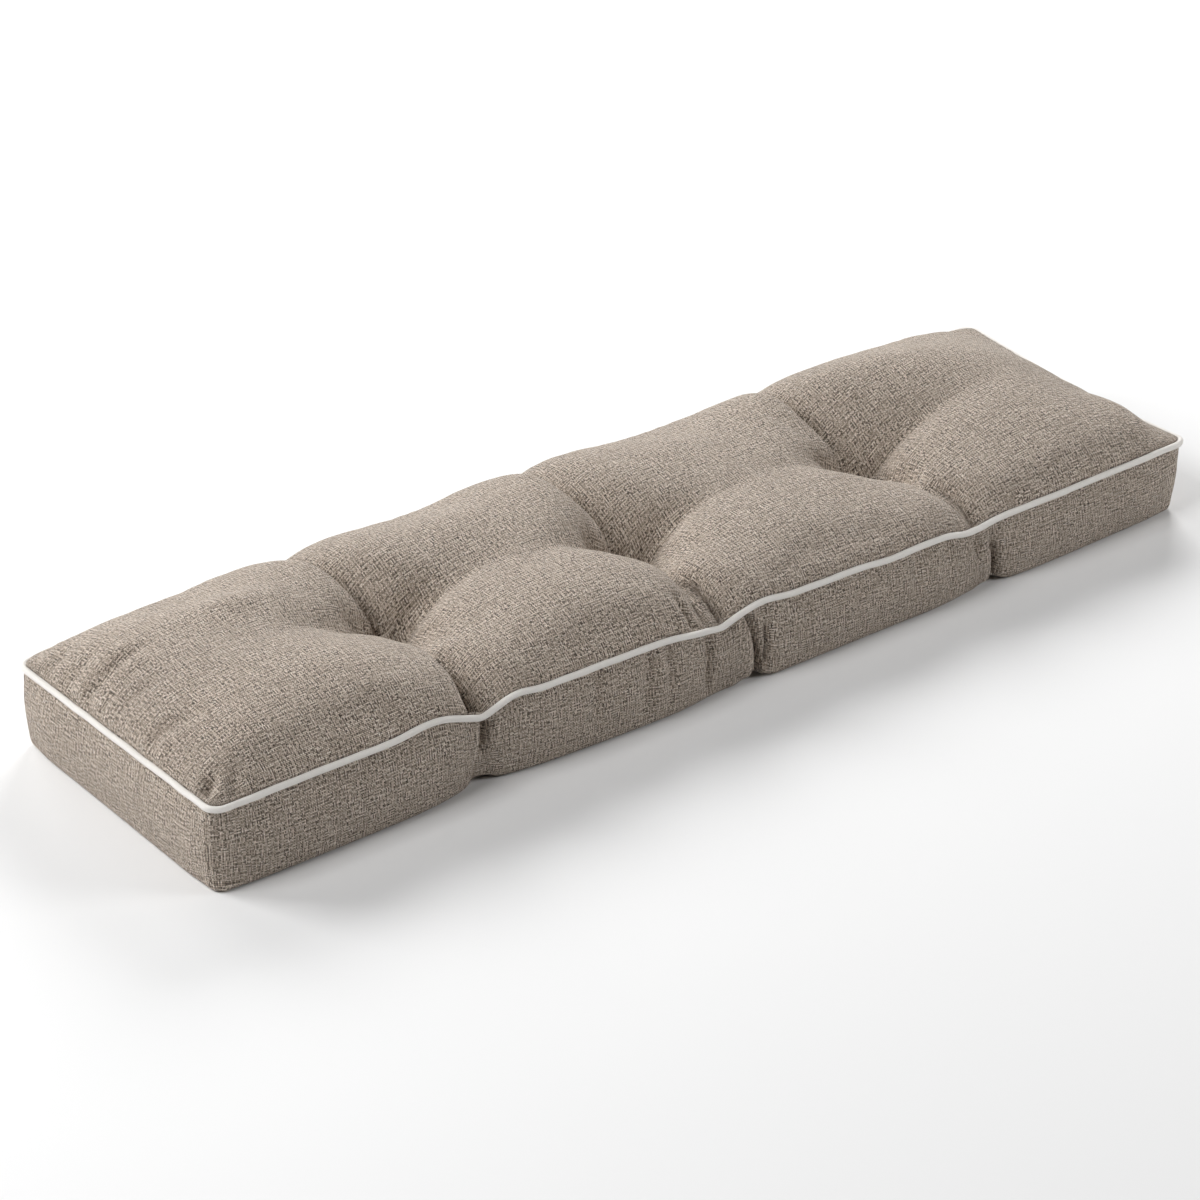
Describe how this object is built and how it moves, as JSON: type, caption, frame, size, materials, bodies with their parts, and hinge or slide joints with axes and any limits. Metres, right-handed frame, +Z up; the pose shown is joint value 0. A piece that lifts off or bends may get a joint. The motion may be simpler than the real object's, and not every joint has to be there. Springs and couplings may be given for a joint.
{
  "type": "bench cushion",
  "caption": "Long filled bench cushion with boxed sides, tufts that draw creases across its crown to front and back, and a pale corded top seam.",
  "frame": {"origin": "centre of the footprint, on the surface that the underside rests on", "axes": "+X along the length towards the right end as seen from the front, -Y towards the front side, +Z up out of the crown"},
  "size_m": [1.2246, 0.3575, 0.1453],
  "materials": {
    "fabric": "matt linen-look plain weave in taupe with cream and dark slubs",
    "piping": "matt off-white bias binding over a cord"
  },
  "bodies": {
    "root": {"cushion": "fabric", "piping": "piping"}
  },
  "joints": []
}
